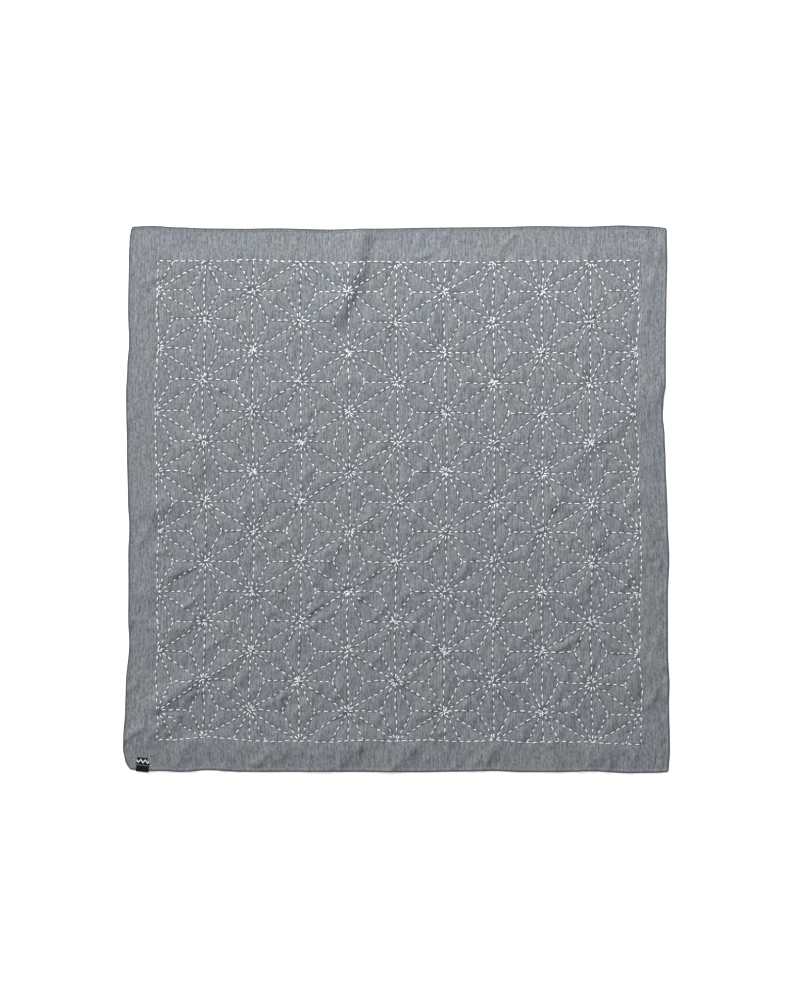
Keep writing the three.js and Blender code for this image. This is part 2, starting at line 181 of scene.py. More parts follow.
# Small crinkles strewn at random, more and higher ones to the lower right
crinkles = {
    "count": 900,
    "length": (8, 24),
    "halfWidth": (3.0, 4.6),
    "height": (0.55, 1.9),
    "lean": 66,  # degrees from the lower edge
    "leanTurn": 52,  # from the left side to the right
    "leanSpread": 26,
    "troughShare": 0.4,
    "troughDepth": 0.7,
    "keep": 0.6,  # chance that one in the middle is kept
    "keepLower": 0.45,  # gain in that chance from the upper edge to the lower
    "keepRight": 0.35,  # gain from the left edge to the right
    "heightShare": 0.6,
    "heightGain": 0.6,
}

# The cloth is drawn in along the stitches and puffs up between them
pucker = {
    "depth": 0.4,
    "reach": 2.4,
    "puff": 0.5,
    "puffReach": 8,
    "marginStart": 2,
    "marginFade": 32,
    "farReach": 26,  # beyond this the net isn't felt
    "far": 40.0,
    "floor": 0.2,  # hollows level out at about this height
}

# The label and the lift of the cloth's corner under it
label = {
    "width": 13.2,
    "reach": 14,
    "backReach": 9,
    "thickness": 0.35,
    "middle": -266,
    "lift": 1.0,
    "liftNear": 44,
    "liftFar": 90,
    "noseOut": 0.7,
    "noseIn": 0.6,  # where the leaves end and the round over the hem begins
    "clearance": 0.06,
    "acrossSteps": 14,
    "frontSteps": 16,
    "backSteps": 8,
    "noseSteps": 9,
}


def smooth(share):
    share = np.clip(share, 0, 1)
    return share * share * (3 - 2 * share)


def outAt(rows, place):  # a smooth value between the rows of a side's table
    at = np.array([row[0] for row in rows], float)
    out = np.array([row[1] for row in rows], float)
    place = np.clip(place, at[0], at[-1])
    after = np.clip(np.searchsorted(at, place), 1, len(at) - 1)
    share = smooth((place - at[after - 1]) / (at[after] - at[after - 1]))
    return out[after - 1] + (out[after] - out[after - 1]) * share


def roundCorners(u, v):  # draws each corner's last few millimetres into a small arc
    reach = cloth["cornerRound"]
    overU = np.clip((np.abs(u) - halfWidth + reach) / reach, 0, None)
    overV = np.clip((np.abs(v) - halfLength + reach) / reach, 0, None)
    discU = overU * np.sqrt(np.clip(1 - overV ** 2 / 2, 0, 1))
    discV = overV * np.sqrt(np.clip(1 - overU ** 2 / 2, 0, 1))
    return u - np.sign(u) * (overU - discU) * reach, v - np.sign(v) * (overV - discV) * reach


def lay(u, v):  # where a flat place of the cloth lies, still in millimetres
    right = (u + halfWidth) / cloth["width"]
    up = (v + halfLength) / cloth["length"]
    x, y = roundCorners(u, v)
    x = x - outAt(sides["left"], v) * (1 - right) ** 3 + outAt(sides["right"], v) * right ** 3
    y = y - outAt(sides["bottom"], u) * (1 - up) ** 3 + outAt(sides["top"], u) * up ** 3
    hold = smooth(np.minimum(halfWidth - np.abs(u), halfLength - np.abs(v)) / pullFade)
    for pullU, pullV, alongU, alongV, reach in pulls:
        share = hold * np.exp(-((u - pullU) ** 2 + (v - pullV) ** 2) / reach ** 2)
        x = x + alongU * share
        y = y + alongV * share
    return x, y


# The whole is set down over the middle of its own outline, as the solid is
around = np.linspace(-1, 1, 600)
flatSide = 0 * around + 1
outlineX, outlineY = lay(
    np.concatenate([around, around, flatSide, -flatSide]) * halfWidth,
    np.concatenate([flatSide, -flatSide, around, around]) * halfLength,
)
middleX = (outlineX.min() + outlineX.max()) / 2
middleY = (outlineY.min() + outlineY.max()) / 2

# Camera straight above, at the photograph's scale and aim
camera = {"lens": 100, "sensor": 36, "frameHeight": 1037.3, "aimX": 2.8, "aimY": -1.1}
cameraData = bpy.data.cameras.new("camera")
cameraData.lens = camera["lens"]
cameraData.sensor_width = camera["sensor"]
cameraObject = bpy.data.objects.new("camera", cameraData)
cameraObject.location = (
    (camera["aimX"] - middleX) * metre,
    (camera["aimY"] - middleY) * metre,
    camera["frameHeight"] * metre * camera["lens"] / camera["sensor"],
)
bpy.context.scene.collection.objects.link(cameraObject)
bpy.context.scene.camera = cameraObject
print("camera placed")


# Heights, worked out on a raster over the flat cloth

def rasterStops(half):
    reach = half + cloth["fieldPad"]
    return np.arange(-reach, reach + cloth["fieldStep"], cloth["fieldStep"])


fieldU = rasterStops(halfWidth)
fieldV = rasterStops(halfLength)
gridU, gridV = np.meshgrid(fieldU, fieldV, indexing="ij")


def windowAround(fromU, fromV, toU, toV, reach):  # the part of the raster near a line
    startU, endU = np.searchsorted(fieldU, [min(fromU, toU) - reach, max(fromU, toU) + reach])
    startV, endV = np.searchsorted(fieldV, [min(fromV, toV) - reach, max(fromV, toV) + reach])
    return slice(startU, endU), slice(startV, endV)


def awayFrom(part, fromU, fromV, toU, toV):
    # how far each place in the window is from the line, and on which side of it: 1 is the upper
    # left and -1 the lower right
    alongU = toU - fromU
    alongV = toV - fromV
    share = (gridU[part] - fromU) * alongU + (gridV[part] - fromV) * alongV
    share = np.clip(share / (alongU ** 2 + alongV ** 2), 0, 1)
    offU = gridU[part] - fromU - share * alongU
    offV = gridV[part] - fromV - share * alongV
    away = np.hypot(offU, offV)
    return away, (offV - offU) / (math.sqrt(2) * away + 0.001)


def ridge(fromU, fromV, toU, toV, width, height):  # gentler on its upper left flank
    part = windowAround(fromU, fromV, toU, toV, (ridgeReach + ridgeLean) * width)
    away, side = awayFrom(part, fromU, fromV, toU, toV)
    away = away / (width * (ridgeReach + ridgeLean * side))
    return part, height * np.clip(1 - away ** 2, 0, 1) ** 2


def highestRidge(rows):  # where two of these meet the higher one counts, so that a bent fold is even
    highest = np.zeros_like(gridU)
    for row in rows:
        part, height = ridge(*row)
        highest[part] = np.maximum(highest[part], height)
    return highest


def netPoint(column, row):  # rows are half star rows, counted down from the top
    return net["left"] + column * net["columnPitch"], net["top"] - row * net["halfRowPitch"]


def isStar(point):
    return point[0] == int(point[0]) and (point[0] + point[1]) % 2 == 1


def uprightLines():
    lines = []
    for column in range(net["columns"] + 1):
        stops = [row for row in range(net["halfRows"] + 1) if isStar((column, row))]
        stops = sorted(set(stops) | {0, net["halfRows"]})
        lines += [("upright", (column, top), (column, foot)) for top, foot in zip(stops, stops[1:])]
    return lines


def leafLines(column, row):  # round one heart between two columns: its spokes and its slanting sides
    base, tip = (column, column + 1) if isStar((column, row)) else (column + 1, column)
    heart = ((base + 2 * tip) / 3, row)
    lines = []
    if 0 < row < net["halfRows"]:
        lines.append(("level", (base, row), heart))
    for other in (row - 1, row + 1):
        if 0 <= other <= net["halfRows"]:
            lines.append(("spoke", (tip, other), heart))
            if other > row:
                lines.append(("slant", (base, row), (tip, other)))
    return lines


def netLines():  # every stitched line as (kind, net point, net point)
    lines = uprightLines()
    for column in range(net["columns"]):
        for row in range(net["halfRows"] + 1):
            lines += leafLines(column, row)
    for row in (0, net["halfRows"]):
        lines.append(("frame", (0, row), (net["columns"], row)))
    return lines


def smoothRaster(values):
    values = np.pad(values, 1, mode="edge")
    values = (values[:-2] + 2 * values[1:-1] + values[2:]) / 4
    return (values[:, :-2] + 2 * values[:, 1:-1] + values[:, 2:]) / 4


def crinkleRows():
    rows = []
    while len(rows) < crinkles["count"]:
        u = chance.uniform(-halfWidth, halfWidth)
        v = chance.uniform(-halfLength, halfLength)
        right = u / cloth["width"]
        lower = -v / cloth["length"]
        keep = crinkles["keep"] + crinkles["keepLower"] * lower + crinkles["keepRight"] * right
        lean = crinkles["lean"] + crinkles["leanTurn"] * right
        lean = math.radians(chance.normal(lean, crinkles["leanSpread"]))
        half = chance.uniform(*crinkles["length"]) / 2
        width = chance.uniform(*crinkles["halfWidth"])
        low, high = crinkles["height"]
        share = crinkles["heightShare"] + crinkles["heightGain"] * keep
        height = (low + (high - low) * chance.random() ** 2) * share
        if chance.random() < crinkles["troughShare"]:
            height = -crinkles["troughDepth"] * height
        if chance.random() < keep:
            stepU = math.cos(lean) * half
            stepV = math.sin(lean) * half
            rows.append((u - stepU, v - stepV, u + stepU, v + stepV, width, height))
    return rows


def makeHeights():  # how far the cloth's underside is lifted from the surface
    lifted = highestRidge(folds)
    nearLabel = np.hypot(gridU - label["middle"], gridV + halfLength)
    liftShare = (nearLabel - label["liftNear"]) / (label["liftFar"] - label["liftNear"])
    lifted += label["lift"] * (1 - smooth(liftShare))

    fromNet = np.full_like(gridU, pucker["far"])
    for kind, start, end in netLines():
        points = netPoint(*start) + netPoint(*end)
        part = windowAround(*points, pucker["farReach"])
        if kind != "frame":
            fromNet[part] = np.minimum(fromNet[part], awayFrom(part, *points)[0])
    lifted += highestRidge(creases)
    for row in crinkleRows():
        part, height = ridge(*row)
        lifted[part] += height
    outsideU = np.abs(gridU - netMiddleU) - netHalfWidth
    outsideV = np.abs(gridV - netMiddleV) - netHalfLength
    outside = np.maximum(outsideU, outsideV)
    stitched = 1 - smooth((outside - pucker["marginStart"]) / pucker["marginFade"])
    drawnIn = pucker["depth"] * np.exp(-(fromNet / pucker["reach"]) ** 2)
    lifted += stitched * (cloth["stitchedLift"] - drawnIn)
    lifted += stitched * pucker["puff"] * smooth(fromNet / pucker["puffReach"])
    lifted = smoothRaster(lifted)
    floor = pucker["floor"]
    return np.where(lifted > floor, lifted, floor * np.exp(np.clip(lifted, -5, floor) / floor - 1))


def sample(values, u, v):  # reads the raster between its points
    stepsU = np.clip((u - fieldU[0]) / cloth["fieldStep"], 0, len(fieldU) - 1.001)
    stepsV = np.clip((v - fieldV[0]) / cloth["fieldStep"], 0, len(fieldV) - 1.001)
    i = stepsU.astype(int)
    j = stepsV.astype(int)
    a = stepsU - i
    b = stepsV - j
    low = values[i, j] * (1 - a) + values[i + 1, j] * a
    high = values[i, j + 1] * (1 - a) + values[i + 1, j + 1] * a
    return low * (1 - b) + high * b


heights = makeHeights()
print("heights worked out")


def thickAt(u, v):  # three layers in the hem, more where two hems cross, with a groove at its sewing
    fromSide = halfWidth - np.abs(u)
    fromEnd = halfLength - np.abs(v)
    inset = np.minimum(fromSide, fromEnd)
    inSide = smooth((hem["width"] - fromSide) / hem["step"])
    inEnd = smooth((hem["width"] - fromEnd) / hem["step"])
    bendU, bendV = hem["rippleBends"]
    ripple = np.sin((u + v) / hem["rippleStep"] + 2 * np.sin(u / bendU) + 2 * np.sin(v / bendV))
    ripple = hem["ripple"] * ripple * smooth(inset / hem["rippleFade"])
    layers = np.maximum(inSide, inEnd) * (hem["thickness"] - cloth["thickness"] + ripple)
    layers = layers + hem["cornerRise"] * inSide * inEnd
    groove = hem["groove"] * np.exp(-((inset - hem["sewingLine"]) / hem["grooveHalf"]) ** 2)
    return cloth["thickness"] + layers - groove, inset


def skins(u, v):  # heights of the underside and of the face over the surface
    lift = sample(heights, u, v)
    thick, inset = thickAt(u, v)
    toEdge = np.clip(1 - inset / hem["round"], 0, 1)
    draw = thick / 2 * (1 - np.sqrt(1 - toEdge ** 2))
    return lift + draw, lift + thick - draw


def faceAt(u, v):
    return skins(u, v)[1]


def underAt(u, v):
    return skins(u, v)[0]


# Meshes

def makeMesh(name, points, faceArrays, flat):
    # points are in millimetres where lay() puts them; flat is each point's own place for the weave
    placed = (np.reshape(points, (-1, 3)) - (middleX, middleY, 0)) * metre
    corners = np.concatenate([np.reshape(faces, -1) for faces in faceArrays]).astype(np.int32)
    counts = np.concatenate([np.full(len(faces), np.shape(faces)[1]) for faces in faceArrays])
    mesh = bpy.data.meshes.new(name)
    mesh.vertices.add(len(placed))
    mesh.vertices.foreach_set("co", placed.astype(np.float32).ravel())
    mesh.loops.add(len(corners))
    mesh.loops.foreach_set("vertex_index", corners)
    mesh.polygons.add(len(counts))
    mesh.polygons.foreach_set("loop_start", (np.cumsum(counts) - counts).astype(np.int32))
    mesh.polygons.foreach_set("loop_total", counts.astype(np.int32))
    mesh.polygons.foreach_set("use_smooth", np.ones(len(counts), bool))
    mesh.update(calc_edges=True)
    layer = mesh.uv_layers.new(name="flat")
    layer.uv.foreach_set("vector", np.reshape(flat, (-1, 2))[corners].astype(np.float32).ravel())
    piece = bpy.data.objects.new(name, mesh)
    bpy.context.scene.collection.objects.link(piece)
    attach(piece, "root")
    return piece


def gridFaces(across, deep, first=0):  # quads of a grid whose points run fastest along its second way
    i, j = np.meshgrid(np.arange(across - 1), np.arange(deep - 1), indexing="ij")
    a = first + i * deep + j
    return np.stack([a, a + deep, a + deep + 1, a + 1], axis=-1).reshape(-1, 4)


def rimSides(across, deep, first=0):  # point numbers along a grid's four sides, counter-clockwise
    return [
        first + np.arange(across) * deep,
        first + (across - 1) * deep + np.arange(deep),
        first + np.arange(across - 1, -1, -1) * deep + deep - 1,
        first + np.arange(deep - 1, -1, -1),
    ]


def bandFaces(outer, inner):  # triangles between two rows of points, whatever number each has
    faces = []
    i = 0
    j = 0
    lastI = len(outer) - 1
    lastJ = len(inner) - 1
    while i < lastI or j < lastJ:
        if j == lastJ or (i < lastI and (i + 1) * lastJ <= (j + 1) * lastI):
            faces.append((outer[i], inner[j], outer[i + 1]))
            i += 1
        else:
            faces.append((outer[i], inner[j], inner[j + 1]))
            j += 1
    return faces


def stations(half, stops, step):  # fine stops at the hem, even ones between
    reach = half - stops[-1]
    even = np.linspace(-reach, reach, int(round(2 * reach / step)) + 1)
    low = np.array(stops[:-1]) - half
    return np.concatenate([low, even, -low[::-1]])


def makeCloth():
    faceU = stations(halfWidth, hem["faceStops"], cloth["faceStep"])
    faceV = stations(halfLength, hem["faceStops"], cloth["faceStep"])
    underU = stations(halfWidth, hem["underStops"], cloth["underStep"])
    underV = stations(halfLength, hem["underStops"], cloth["underStep"])
    u, v = (part.ravel() for part in np.meshgrid(faceU, faceV, indexing="ij"))
    backU, backV = (part.ravel() for part in np.meshgrid(underU, underV, indexing="ij"))
    x, y = lay(u, v)
    backX, backY = lay(backU, backV)
    face = np.stack([x, y, faceAt(u, v)], axis=-1)
    back = np.stack([backX, backY, underAt(backU, backV)], axis=-1)
    faceRim = rimSides(len(faceU), len(faceV))
    backRim = rimSides(len(underU), len(underV), len(face))
    band = [triangle for outer, inner in zip(faceRim, backRim) for triangle in bandFaces(outer, inner)]
    faceQuads = gridFaces(len(faceU), len(faceV))
    backQuads = gridFaces(len(underU), len(underV), len(face))[:, ::-1]
    points = np.concatenate([face, back])
    flat = np.concatenate([np.stack([u, v], axis=-1), np.stack([backU, backV], axis=-1)])
    return makeMesh("chambray_cloth", points, [faceQuads, backQuads, np.array(band)], flat)


clothPiece = makeCloth()
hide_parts("cloth")
print("cloth made")


# Running stitches

stitches = {
    # from the start of one stitch to the next, on each kind of line
    "pitch": {"upright": 7.6, "slant": 6.97, "level": 7.0, "spoke": 6.65, "frame": 7.4},
    "shown": 0.625,  # share of the pitch that lies on the face
    "strayAlong": 0.4,
    "strayAcross": 0.32,
    "wander": 0.75,
    "wanderStep": 11,
    "countStray": 0.3,
    "starGap": (0.2, 2.8),
    "wideStarGap": (3, 6.8),
    "wideShare": 0.38,  # share of a star's arms whose thread passes under the middle
    "heartGap": (-0.1, 0.7),
    "levelHeartGap": (1.8, 3.4),
    "levelHeartShare": 0.75,  # share of the level lines that stop short of the heart
    "edgeGap": (0.5, 2.2),
    "crossed": 0.8,  # share of the stars with a stitch right over the middle
    "crossHalf": 2.0,
}
plump = {
    "arch": 0.45,  # powers of the rise along a stitch and of its swelling
    "taper": 0.8,
    "strands": 0.13,  # shares of the width
    "stray": 0.07,
}
faceThread = {
    "width": 1.45,
    "height": 0.97,
    "rise": 0.4,
    "dip": 0.75,
    "steps": (0, 0.08, 0.22, 0.41, 0.59, 0.78, 0.92, 1),
    "sides": 6,
    "turn": 0.75,  # radians that the strands turn from one step to the next
    "tipShare": 0.55,  # share of the full width that is left at the two ends
}
backThread = {
    "width": 1.15,
    "height": 0.6,
    "rise": 0.2,
    "dip": 0.6,
    "steps": (0, 0.14, 0.5, 0.86, 1),
    "sides": 5,
    "turn": 0.5,
    "tipShare": 0.7,
}
sewingThread = {
    "width": 0.42,
    "height": 0.34,
    "rise": 0.06,
    "dip": 0.25,
    "steps": (0, 0.3, 0.7, 1),
    "sides": 4,
    "turn": 0.4,
    "tipShare": 0.7,
}


def endGaps(lines):  # the bare stretch that each line keeps at each of its two ends
    gaps = []
    for kind, start, end in lines:
        ends = []
        for point in (start, end):
            if kind == "frame":
                ends.append(chance.uniform(*stitches["edgeGap"]))
            elif isStar(point):
                wide = chance.random() < stitches["wideShare"]
                ends.append(chance.uniform(*stitches["wideStarGap" if wide else "starGap"]))
            elif point[0] == int(point[0]):
                ends.append(chance.uniform(*stitches["edgeGap"]))
            elif kind == "level" and chance.random() < stitches["levelHeartShare"]:
                ends.append(chance.uniform(*stitches["levelHeartGap"]))
            else:
                ends.append(chance.uniform(*stitches["heartGap"]))
        gaps.append(ends)
    return gaps


def crossStars(lines, gaps):  # lets one stitch run right over most stars
    arms = {}
    for index, (kind, start, end) in enumerate(lines):
        for side, (point, other) in enumerate(((start, end), (end, start))):
            if kind != "frame" and isStar(point):
                fromPoint = np.array(netPoint(*point))
                away = np.array(netPoint(*other)) - fromPoint
                arms.setdefault(point, []).append((index, side, away / np.hypot(*away)))
    spare = (1 - stitches["shown"]) * stitches["pitch"]["slant"]
    for point, found in sorted(arms.items()):
        first = found[chance.integers(len(found))]
        opposite = [arm for arm in found if np.dot(arm[2], first[2]) < -0.99]
        if opposite and chance.random() < stitches["crossed"]:
            gaps[first[0]][first[1]] = -stitches["crossHalf"]
            gaps[opposite[0][0]][opposite[0][1]] = stitches["crossHalf"] + spare


def stitchLine(kind, start, end, gap):  # one line's stitches as flat (from u, from v, to u, to v)
    fromPoint = np.array(netPoint(*start))
    whole = np.array(netPoint(*end)) - fromPoint
    length = np.hypot(*whole)
    way = whole / length
    across = np.array([-way[1], way[0]])
    bare = (1 - stitches["shown"]) * stitches["pitch"][kind]
    run = length - gap[0] - gap[1] + bare
    countStray = chance.uniform(-stitches["countStray"], stitches["countStray"])
    count = max(1, round(run / stitches["pitch"][kind] + countStray))
    begins = gap[0] + np.arange(count) * run / count
    finishes = begins + run / count - bare
    stray = chance.normal(0, stitches["strayAlong"], (2, count))
    stray[0, 0] = 0
    stray[1, -1] = 0
    begins = begins + stray[0]
    finishes = finishes + stray[1]
    phase = chance.uniform(0, 2 * np.pi)
    sideways = chance.normal(0, stitches["strayAcross"], (2, count))
    ends = []
    for places, offset in ((begins, sideways[0]), (finishes, sideways[1])):
        fade = np.sin(np.pi * np.clip(places / length, 0, 1))
        wander = stitches["wander"] * np.sin(places / stitches["wanderStep"] + phase) * fade
        ends.append(fromPoint + np.outer(places, way) + np.outer(wander + offset, across))
    return np.concatenate(ends, axis=1)


def threadMesh(name, runs, thread, skin, upward):
    # each run is (from u, from v, to u, to v): a short arched thread that dives into the cloth
    # at both ends
    steps = np.array(thread["steps"])
    sides = thread["sides"]
    runs = np.asarray(runs)
    u = runs[:, 0:1] + (runs[:, 2:3] - runs[:, 0:1]) * steps
    v = runs[:, 1:2] + (runs[:, 3:4] - runs[:, 1:2]) * steps
    x, y = lay(u, v)
    bulge = np.sin(np.pi * np.clip(steps, 0.001, 0.999))
    arch = (thread["dip"] + thread["rise"]) * bulge ** plump["arch"] - thread["dip"]
    z = skin(u, v) + upward * arch
    way = np.stack([x[:, -1] - x[:, 0], y[:, -1] - y[:, 0]], axis=-1)
    way /= np.hypot(way[:, 0], way[:, 1])[:, None]
    start = chance.uniform(0, 2 * np.pi, len(runs))
    turn = start[:, None, None] + thread["turn"] * np.arange(len(steps))[:, None]
    angle = turn + 2 * np.pi * np.arange(sides) / sides
    strands = plump["strands"] * np.cos(np.pi * np.arange(sides)) if sides % 2 == 0 else 0
    thickness = (1 + chance.normal(0, plump["stray"], len(runs)))[:, None, None]
    taper = thread["tipShare"] + (1 - thread["tipShare"]) * np.sin(np.pi * steps)[:, None] ** plump["taper"]
    acrossShare = np.cos(angle) * (1 + strands) * thickness * taper * thread["width"] / 2
    upShare = np.sin(angle) * (1 + strands) * taper * thread["height"] / 2
    ringX = x[:, :, None] - way[:, None, None, 1] * acrossShare
    ringY = y[:, :, None] + way[:, None, None, 0] * acrossShare
    ringZ = z[:, :, None] + upShare
    rings = np.stack([ringX, ringY, ringZ], axis=-1).reshape(len(runs), -1, 3)
    tips = np.stack([x[:, [0, -1]], y[:, [0, -1]], z[:, [0, -1]]], axis=-1)
    points = np.concatenate([rings, tips], axis=1)
    points[:, :, 2] = np.maximum(points[:, :, 2], lowest)

    one = rings.shape[1]
    ring, side = np.meshgrid(np.arange(len(steps) - 1), np.arange(sides), indexing="ij")
    a = ring * sides + side
    b = ring * sides + (side + 1) % sides
    quads = np.stack([a, a + sides, b + sides, b], axis=-1).reshape(-1, 4)
    k = np.arange(sides)
    startCap = np.stack([np.full(sides, one), k, (k + 1) % sides], axis=-1)
    endCap = np.stack([np.full(sides, one + 1), one - sides + (k + 1) % sides, one - sides + k], axis=-1)
    first = np.arange(len(runs)) * (one + 2)
    allQuads = (quads[None] + first[:, None, None]).reshape(-1, 4)
    allCaps = (np.concatenate([startCap, endCap])[None] + first[:, None, None]).reshape(-1, 3)
    lengths = np.hypot(x[:, -1] - x[:, 0], y[:, -1] - y[:, 0])
    alongThread = np.repeat(steps[None, :, None] * lengths[:, None, None], sides, axis=2)
    # whole turns count the stitches, so that the look can tell one from the next
    aroundThread = angle / (2 * np.pi) + np.arange(len(runs))[:, None, None]
    flat = np.stack([alongThread, aroundThread], axis=-1).reshape(len(runs), -1, 2)
    tipFlat = np.stack([np.stack([0 * lengths, lengths], axis=-1), np.zeros((len(runs), 2))], axis=-1)
    flat = np.concatenate([flat, tipFlat], axis=1)
    return makeMesh(name, points, [allQuads, allCaps], flat)


def betweenRuns(runs):  # on the back the thread shows between one stitch and the next
    return np.concatenate([runs[:-1, 2:4], runs[1:, 0:2]], axis=1)


def makeStitches():
    lines = netLines()
    gaps = endGaps(lines)
    crossStars(lines, gaps)
    front = {}
    back = {}
    for (kind, start, end), gap in zip(lines, gaps):
        runs = stitchLine(kind, start, end, gap)
        front.setdefault(kind, []).append(runs)
        back.setdefault(kind, []).append(betweenRuns(runs))
    pieces = []
    for kind in front:
        rows = np.concatenate(front[kind])
        pieces.append(threadMesh("stitches_" + kind, rows, faceThread, faceAt, 1))
        rows = np.concatenate(back[kind])
        pieces.append(threadMesh("back_stitches_" + kind, rows, backThread, underAt, -1))
    return pieces


stitchPieces = makeStitches()
print("stitches made:", [piece.name for piece in stitchPieces])


hemStitch = {"pitch": 2.7, "shown": 2.2}


def makeHemSewing():
    shown = hemStitch["shown"]
    rows = []
    for half, other, flip in ((halfWidth, halfLength, False), (halfLength, halfWidth, True)):
        reach = half - hem["sewingLine"]
        begins = np.arange(-reach, reach - shown, hemStitch["pitch"])
        for line in (other - hem["sewingLine"], hem["sewingLine"] - other):
            run = np.stack([begins, 0 * begins + line, begins + shown, 0 * begins + line], axis=-1)
            rows.append(run[:, [1, 0, 3, 2]] if flip else run)
    return threadMesh("hem_sewing", np.concatenate(rows), sewingThread, faceAt, 1)


hemSewing = makeHemSewing()
print("hem sewn")


# Label: one tape folded over the hem, with a front and a back leaf

def makeLabel():
    start = np.array(lay(label["middle"] - label["width"] / 2, -halfLength))
    way = np.array(lay(label["middle"] + label["width"] / 2, -halfLength)) - start
    way = way / np.hypot(*way)
    middle = np.array(lay(label["middle"], -halfLength))
    across = np.linspace(-0.5, 0.5, label["acrossSteps"] + 1) * label["width"]
    half = label["thickness"] / 2
    off = half + label["clearance"]
    noseStart = label["noseIn"]
    frontIn = np.linspace(label["reach"], noseStart, label["frontSteps"])
    backIn = np.linspace(noseStart, label["backReach"], label["backSteps"])
    bend = np.linspace(0.5 * np.pi, -0.5 * np.pi, label["noseSteps"])[1:-1]
    columns = []
    for place in across:
        u = label["middle"] + place
        top = faceAt(u + 0 * frontIn, frontIn - halfLength) + off
        low = underAt(u + 0 * backIn, backIn - halfLength) - off
        noseIn = noseStart - (label["noseOut"] + noseStart) * np.cos(bend)
        noseUp = (top[-1] + low[0]) / 2 + (top[-1] - low[0]) / 2 * np.sin(bend)
        inward = np.concatenate([frontIn, noseIn, backIn])
        upward = np.concatenate([top, noseUp, low])
        columns.append((inward, upward))
    inward, upward = (np.stack([column[k] for column in columns]) for k in range(2))
    stepIn = np.gradient(inward, axis=1)
    stepUp = np.gradient(upward, axis=1)
    size = np.hypot(stepIn, stepUp)
    leaves = []
    for side in (1, -1):
        offIn = inward + side * half * stepUp / size
        offUp = upward - side * half * stepIn / size
        x = middle[0] + across[:, None] * way[0] - offIn * way[1]
        y = middle[1] + across[:, None] * way[1] + offIn * way[0]
        leaves.append(np.stack([x, y, np.maximum(offUp, lowest)], axis=-1).reshape(-1, 3))
    wide, deep = inward.shape
    count = wide * deep
    rim = np.concatenate([side[:-1] for side in rimSides(wide, deep)])
    nextRim = np.roll(rim, -1)
    wall = np.stack([rim, rim + count, nextRim + count, nextRim], axis=-1)
    faces = [gridFaces(wide, deep), gridFaces(wide, deep, count)[:, ::-1], wall]
    acrossAll = np.repeat(across[:, None], deep, axis=1)
    flat = np.stack([acrossAll, inward], axis=-1).reshape(-1, 2)
    return makeMesh("label_tape", np.concatenate(leaves), faces, np.concatenate([flat, flat]))


labelPiece = makeLabel()
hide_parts("label")
print("label made")


# Materials

class Flow:  # one output of a node; sums on it add Math nodes
    def __init__(self, tree, socket):
        self.tree = tree
        self.socket = socket

    def node(self, kind, settings, values, output=0):
        made = self.tree.nodes.new(kind)
        for name, value in settings.items():
            setattr(made, name, value)
        for name, value in values.items():
            if isinstance(value, Flow):
                self.tree.links.new(value.socket, made.inputs[name])
            else:
                made.inputs[name].default_value = value
        return Flow(self.tree, made.outputs[output])

    def math(self, operation, first, second=0.0):
        return self.node("ShaderNodeMath", {"operation": operation}, {0: first, 1: second})

    def __add__(self, other):
        return self.math("ADD", self, other)

    def __radd__(self, other):
        return self.math("ADD", other, self)

    def __sub__(self, other):
        return self.math("SUBTRACT", self, other)

    def __rsub__(self, other):
        return self.math("SUBTRACT", other, self)

    def __mul__(self, other):
        return self.math("MULTIPLY", self, other)

    def __rmul__(self, other):
        return self.math("MULTIPLY", other, self)

    def scaled(self, sizes):  # a place stretched by three numbers
        return self.node("ShaderNodeVectorMath", {"operation": "MULTIPLY"}, {0: self, 1: sizes})

    def noise(self, sizes, detail=2.0, roughness=0.5):  # about 0.5, lumps of 1/size millimetres
        settings = {"noise_dimensions": "2D"}
        values = {"Vector": self.scaled(sizes), "Scale": 1.0, "Detail": detail, "Roughness": roughness}
        return self.node("ShaderNodeTexNoise", settings, values)

    def ranged(self, low, high):  # 0 at low and 1 at high, smooth between
        settings = {"interpolation_type": "SMOOTHSTEP"}
        return self.node("ShaderNodeMapRange", settings, {"Value": self, "From Min": low, "From Max": high})

    def blend(self, first, second):  # this value's share of the second colour
        return self.node("ShaderNodeMix", {"data_type": "RGBA"}, {0: self, 6: first, 7: second}, 2)

    def tinted(self, tint):  # this colour times another
        settings = {"data_type": "RGBA", "blend_type": "MULTIPLY"}
        return self.node("ShaderNodeMix", settings, {0: 1.0, 6: self, 7: tint}, 2)

    def bump(self, distance, strength=1.0):
        return self.node("ShaderNodeBump", {}, {"Height": self, "Distance": distance, "Strength": strength})


def newMaterial(name, settings):
    material = bpy.data.materials.new(name)
    material.use_nodes = True
    shader = material.node_tree.nodes["Principled BSDF"]
    for socket, value in settings.items():
        shader.inputs[socket].default_value = value
    return material, shader, Flow(material.node_tree, shader.outputs[0])


def feed(shader, values):
    tree = shader.id_data
    for name, value in values.items():
        tree.links.new(value.socket, shader.inputs[name])


def flatPlace(start):  # the flat place of a piece, whole and as its two numbers
    flat = start.node("ShaderNodeUVMap", {"uv_map": "flat"}, {})
    first, second = (flat.node("ShaderNodeSeparateXYZ", {}, {"Vector": flat}, part) for part in (0, 1))
    return flat, first, second


def dress(piece, material):
    piece.data.materials.clear()
    piece.data.materials.append(material)


def fromHeartLines(across, down):  # from the upright, level and spoke round one heart of the net
    half = net["halfRowPitch"]
    heart = net["columnPitch"] / 3
    level = down.math("MAXIMUM", down, heart - across)
    spoke = down.math("ABSOLUTE", (across * half + (down - half) * heart) * (1 / math.hypot(half, heart)))
    return down.math("MINIMUM", across, down.math("MINIMUM", level, spoke))


